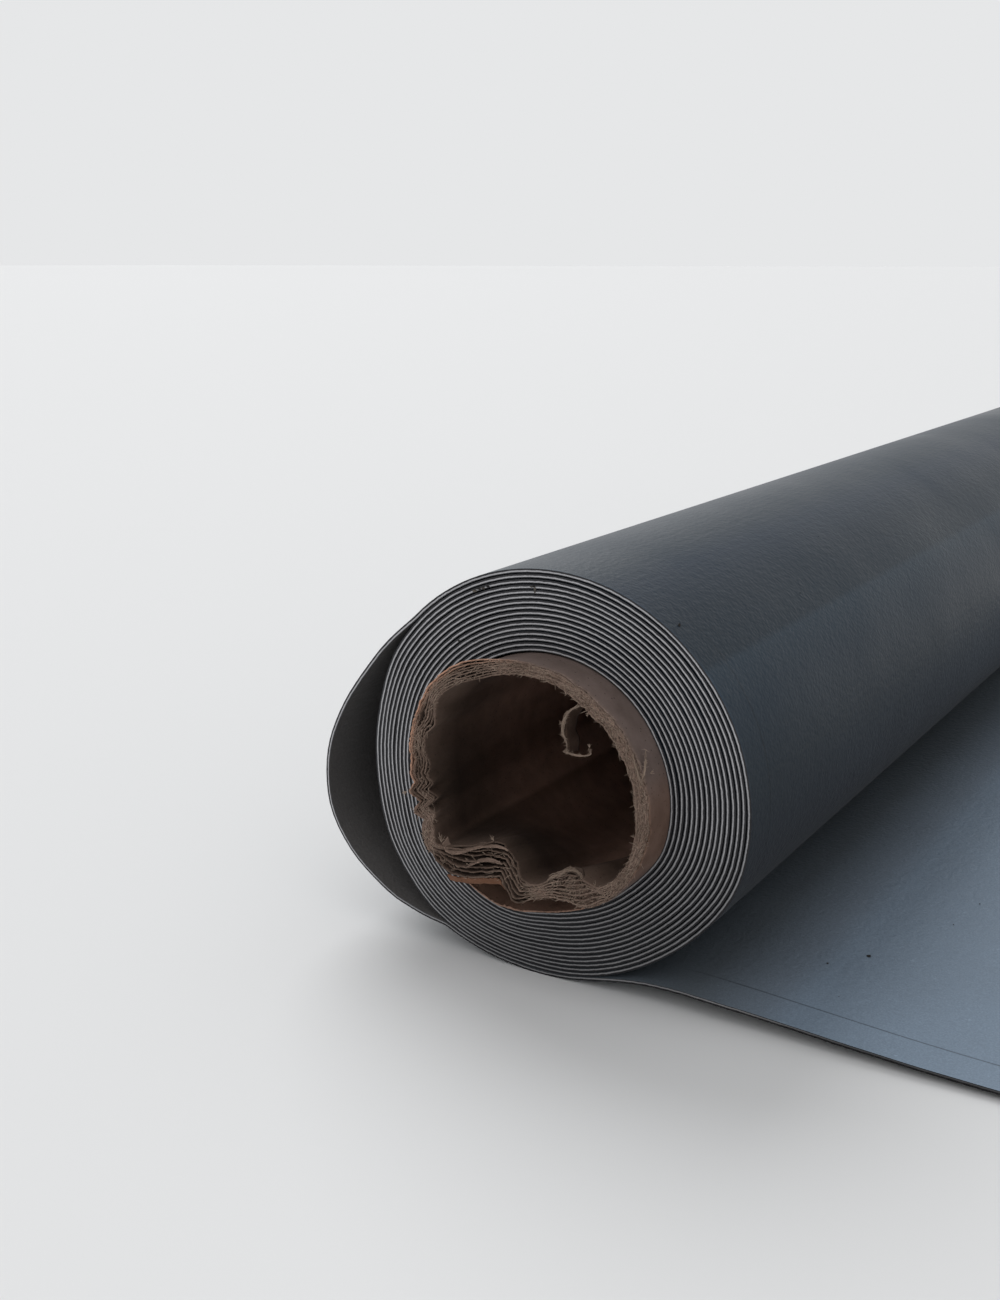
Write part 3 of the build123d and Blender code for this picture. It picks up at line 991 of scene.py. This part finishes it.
def cardboardMaterial(name, outside, core, inside):
    material, tree, shader = newMaterial(name)
    place = objectPlace(tree)
    ply, torn, kraft, shade = [attribute(tree, layer) for layer in ("ply", "torn", "kraft", "shade")]
    back = fromAxis(tree, place)[1]
    grain = noiseAt(tree, place, *tube["grain"])
    streaks = noiseAt(tree, ringPlace(tree, place), *tube["streaks"], distortion=0.6)
    blotches = noiseAt(tree, place, *tube["blotches"])
    freckles = addNode(tree, "TexVoronoi", Vector=place, Scale=tube["freckleScale"]).outputs["Distance"]

    colour = toned(tree, ply, [(0.0, outside), (0.12, core), (0.84, core), (0.98, inside)])
    colour = mixed(tree, colour, rgba(core), torn)
    colour = mixed(tree, colour, rgba(tube["lining"]), kraft)
    colour = washed(tree, colour, [
        # painted shade just behind the torn end and painted light deeper in the tube
        (tonedOver(tree, back, tube["boreLightTones"], mm), band(tree, ply, 0.02, 0.12)),
        (rgba(tube["shade"]), shade),
        (toned(tree, streaks, tube["streakTones"]), torn),
        (toned(tree, grain, tube["grainTones"]), torn),
        (toned(tree, blotches, tube["blotchTones"]), 1.0),
        (toned(tree, freckles, tube["freckleTones"]), 1.0),
    ])
    tree.links.new(colour, shader.inputs["Base Color"])
    relief = calc(tree, "MULTIPLY_ADD", streaks, torn, grain)
    addBump(tree, shader, relief, strength=0.6, distance=0.3 * mm)
    shader.inputs["Roughness"].default_value = 0.9
    shader.inputs["Specular IOR Level"].default_value = 0.25
    return material


def plainPaper(name, colour):
    return cardboardMaterial(name, colour, colour, colour)


print("tube")
cardboard = cardboardMaterial("cardboard", tube["outside"], tube["core"], tube["inside"])
papers = {
    "plain": cardboard,
    "shaded": plainPaper("shaded_paper", tube["shadedPaper"]),
    # the paper darkened as painted shade
    "darker_shaded": plainPaper("darker_shaded_paper", tube["shadedDarkPaper"]),
    # the lining darkened as painted shade
    "lining": plainPaper("shaded_lining_paper", tube["shadedLiningPaper"]),
}
plies = finishPiece(tubePlies(), "tube_plies", cardboard, 50)
addThickness(plies, tube["plyThickness"])
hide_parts("core_tube")
finishPiece(tornPulp(), "torn_pulp", plainPaper("pulp", tube["core"]), 180)
tornFibres(plainPaper("fibre", tube["fibre"]))
for name, strip in strips.items():
    paperStrip(name, strip, papers[strip["paper"]])


# Floor, light and camera

stage = {
    "floorSize": 60,
    "floorColour": srgb(226, 227, 228),
    "backdrop": srgb(230, 231, 232),
    "worldStrength": 0.5,
    # direction that the light comes from, strength, and softness in degrees
    "lamps": {"key": ((-0.62, 0.55, 0.8), 1.6, 40), "fill": ((0.1, -0.75, 0.8), 0.62, 80)},
    "eye": (0.2151, -0.3768, 0.1554),    # from the axis and the near face
    "ahead": (-0.507, 0.8246, -0.2512),
    "sensorHeight": 36,
    "focalLength": 1500,                 # in pixels of the photograph
    "frameHeight": 1300,
}


def makeFloor():
    material, tree, shader = newMaterial("floor")
    shader.inputs["Base Color"].default_value = rgba(stage["floorColour"])
    shader.inputs["Roughness"].default_value = 0.9
    bm = bmesh.new()
    bmesh.ops.create_grid(bm, x_segments=1, y_segments=1, size=stage["floorSize"])
    mesh = bpy.data.meshes.new("floor")
    bm.to_mesh(mesh)
    bm.free()
    mesh.materials.append(material)
    floor = addObject("floor", mesh)


def makeLamp(name, source, strength, softness):  # parallel light
    lamp = bpy.data.lights.new(name, "SUN")
    lamp.energy = strength
    lamp.angle = softness * degree
    holder = addObject(name, lamp)
    holder.location = source
    holder.rotation_euler = (-Vector(source)).to_track_quat("-Z", "Y").to_euler()


def makeWorld():  # white light on the object, and a pale backdrop where the camera looks past it
    world = bpy.data.worlds.new("sky")
    world.use_nodes = True
    tree = world.node_tree
    ambient = tree.nodes["Background"]
    ambient.inputs["Color"].default_value = (1, 1, 1, 1)
    ambient.inputs["Strength"].default_value = stage["worldStrength"]
    backdrop = addNode(tree, "Background", Color=rgba(stage["backdrop"]))
    rays = addNode(tree, "LightPath").outputs
    seen = calc(tree, "MAXIMUM", rays["Is Camera Ray"], rays["Is Glossy Ray"])
    seen = calc(tree, "MAXIMUM", seen, rays["Is Transmission Ray"])
    choice = addNode(tree, "MixShader", Fac=seen)
    tree.links.new(ambient.outputs[0], choice.inputs[1])
    tree.links.new(backdrop.outputs[0], choice.inputs[2])
    tree.links.new(choice.outputs[0], tree.nodes["World Output"].inputs["Surface"])
    bpy.context.scene.world = world


def makeCamera():
    camera = bpy.data.cameras.new("camera")
    camera.sensor_fit = "VERTICAL"
    camera.sensor_height = stage["sensorHeight"]
    camera.lens = stage["focalLength"] / stage["frameHeight"] * stage["sensorHeight"]
    holder = addObject("camera", camera)
    holder.location = atAxis(*stage["eye"])
    holder.rotation_euler = Vector(stage["ahead"]).to_track_quat("-Z", "Y").to_euler()
    bpy.context.scene.camera = holder


print("stage")
makeFloor()
makeWorld()
for name, lamp in stage["lamps"].items():
    makeLamp(name, *lamp)
makeCamera()
bpy.context.scene.view_settings.view_transform = "Standard"
